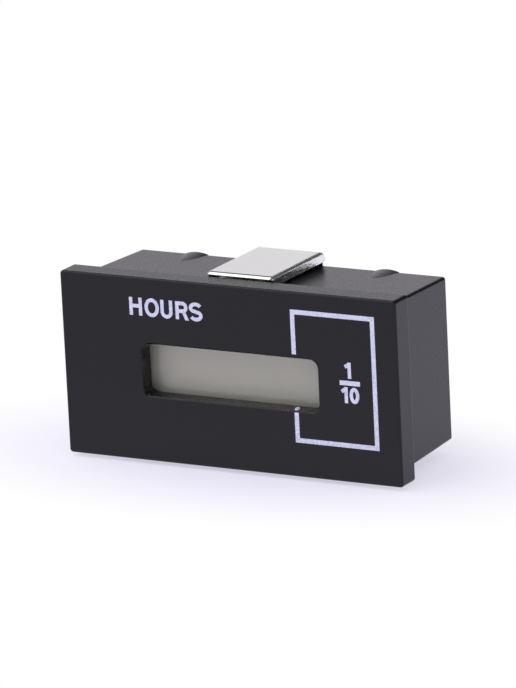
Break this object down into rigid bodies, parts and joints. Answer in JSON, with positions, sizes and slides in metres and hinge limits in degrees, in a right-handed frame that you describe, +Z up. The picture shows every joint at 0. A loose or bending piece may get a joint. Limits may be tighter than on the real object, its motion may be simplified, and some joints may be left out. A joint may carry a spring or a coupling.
{
  "type": "hour meter",
  "caption": "Rectangular panel hour meter: black bezel and body, recessed display window, polished sheet clip slid on from behind, blade terminals at the rear.",
  "frame": {"origin": "centre of the panel seat, which is the bezel's back face", "axes": "+X to the right seen from the front, +Y back through the panel, +Z up"},
  "size_m": [0.048, 0.0255, 0.025],
  "materials": {
    "black_abs": "fine matt moulded texture",
    "clear_acrylic": "polished",
    "polariser": "satin film",
    "display_glass": "polished",
    "reflector": "satin grey-green film",
    "pale_abs": "satin moulded",
    "contact_elastomer": "matt",
    "board_laminate": "solder-resist lacquer",
    "chip_epoxy": "glossy",
    "part_plating": "nickel-plated",
    "chip_ceramic": "matt",
    "resistor_lacquer": "lacquered",
    "capacitor_can": "bright drawn",
    "terminal_brass": "tin-plated brass",
    "clip_steel": "polished stainless sheet"
  },
  "bodies": {
    "meter": {"front_case": "black_abs", "display_window": "clear_acrylic", "display_film": "polariser", "display_front_glass": "display_glass", "display_rear_glass": "display_glass", "display_reflector": "reflector", "display_holder": "pale_abs", "upper_contact_strip": "contact_elastomer", "lower_contact_strip": "contact_elastomer", "circuit_board": "board_laminate", "controller_chip": "chip_epoxy", "quartz_crystal": "part_plating", "crystal_capacitors": "chip_ceramic", "pull_up_resistors": "chip_epoxy", "backup_cell": "part_plating", "cell_negative_tab": "part_plating", "cell_positive_tab": "part_plating", "upper_dropper_resistor": "resistor_lacquer", "lower_dropper_resistor": "resistor_lacquer", "filter_capacitor": "capacitor_can", "bridge_rectifier": "chip_epoxy", "left_terminal": "terminal_brass", "right_terminal": "terminal_brass", "rear_cover": "black_abs"},
    "clip": {"mounting_clip": "clip_steel"}
  },
  "joints": [
    {"name": "clip_slide", "type": "slide", "parent": "meter", "child": "clip", "axis": [0, 1, 0], "range_m": [0, 0.016]}
  ]
}
